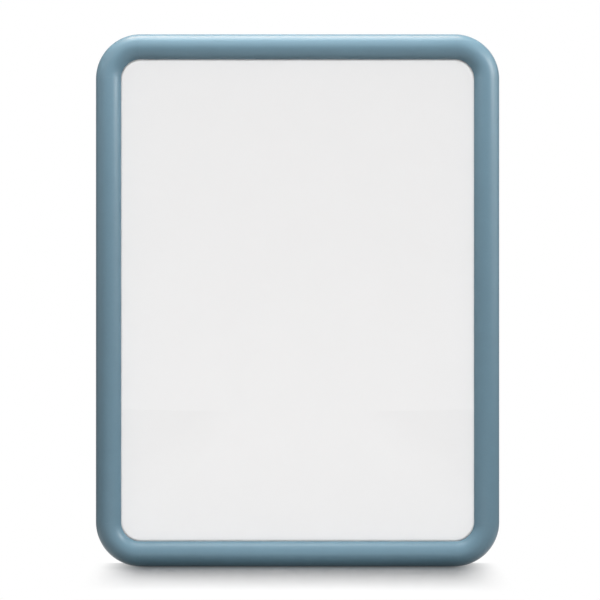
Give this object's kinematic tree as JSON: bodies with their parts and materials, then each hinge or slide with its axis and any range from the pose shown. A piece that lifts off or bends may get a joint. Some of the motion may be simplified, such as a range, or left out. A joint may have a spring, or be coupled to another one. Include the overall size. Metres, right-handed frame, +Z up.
{
  "type": "enclosed corkboard",
  "caption": "Wall-hung enclosed tack board: a pale facing over cork in a shallow case, behind a hinged glazed door in a half-round frame with rounded corners.",
  "frame": {"origin": "centre of the wall plane that the case's back rests on", "axes": "+X to the right, +Y into the wall, +Z up; the door faces -Y"},
  "size_m": [0.483, 0.045, 0.6372],
  "materials": {
    "frame_paint": "satin dusty blue coating on extruded aluminium",
    "corner_plastic": "satin dusty blue moulded corner",
    "case_paint": "satin dusty blue coating on extruded aluminium",
    "case_plastic": "matt dusty blue moulded corner",
    "facing": "pale grey vinyl facing with a fine grain",
    "cork": "natural cork, in granules",
    "fibreboard": "soft grey fibreboard",
    "hardboard": "pressed brown hardboard",
    "acrylic": "clear acrylic sheet",
    "seal": "grey foam tape",
    "bead": "blue vinyl glazing bead",
    "zinc_steel": "zinc-plated steel",
    "nickel": "nickel plate",
    "bumper": "grey rubber"
  },
  "bodies": {
    "case": {"case_rail_top": "case_paint", "case_rail_right": "case_paint", "case_rail_bottom": "case_paint", "case_rail_left": "case_paint", "case_corner_top_right": "case_plastic", "case_corner_bottom_right": "case_plastic", "case_corner_bottom_left": "case_plastic", "case_corner_top_left": "case_plastic", "back_panel": "hardboard", "fibre_core": "fibreboard", "cork_sheet": "cork", "tack_facing": "facing", "hanger_plate_left": "zinc_steel", "hanger_plate_right": "zinc_steel", "door_bumper_top": "bumper", "door_bumper_bottom": "bumper", "hinge_case_leaf": "zinc_steel", "hinge_pin": "zinc_steel", "lock_body": "nickel", "lock_nut": "zinc_steel"},
    "door": {"door_rail_top": "frame_paint", "door_rail_right": "frame_paint", "door_rail_bottom": "frame_paint", "door_rail_left": "frame_paint", "door_corner_top_right": "corner_plastic", "door_corner_bottom_right": "corner_plastic", "door_corner_bottom_left": "corner_plastic", "door_corner_top_left": "corner_plastic", "glazing": "acrylic", "glazing_gasket": "seal", "glazing_bead_top": "bead", "glazing_bead_right": "bead", "glazing_bead_bottom": "bead", "glazing_bead_left": "bead", "hinge_door_leaf": "zinc_steel", "strike_plate": "zinc_steel"},
    "lock_cylinder": {"lock_plug": "nickel", "lock_cam": "zinc_steel", "cam_screw": "zinc_steel"}
  },
  "joints": [
    {"name": "door_hinge", "type": "hinge", "parent": "case", "child": "door", "pos_m": [-0.2387, -0.0226, 0], "axis": [0, 0, -1], "range_deg": [0, 160]},
    {"name": "lock_turn", "type": "hinge", "parent": "case", "child": "lock_cylinder", "pos_m": [0.2358, -0.0106, 0], "axis": [-1, 0, 0], "range_deg": [0, 90]}
  ]
}
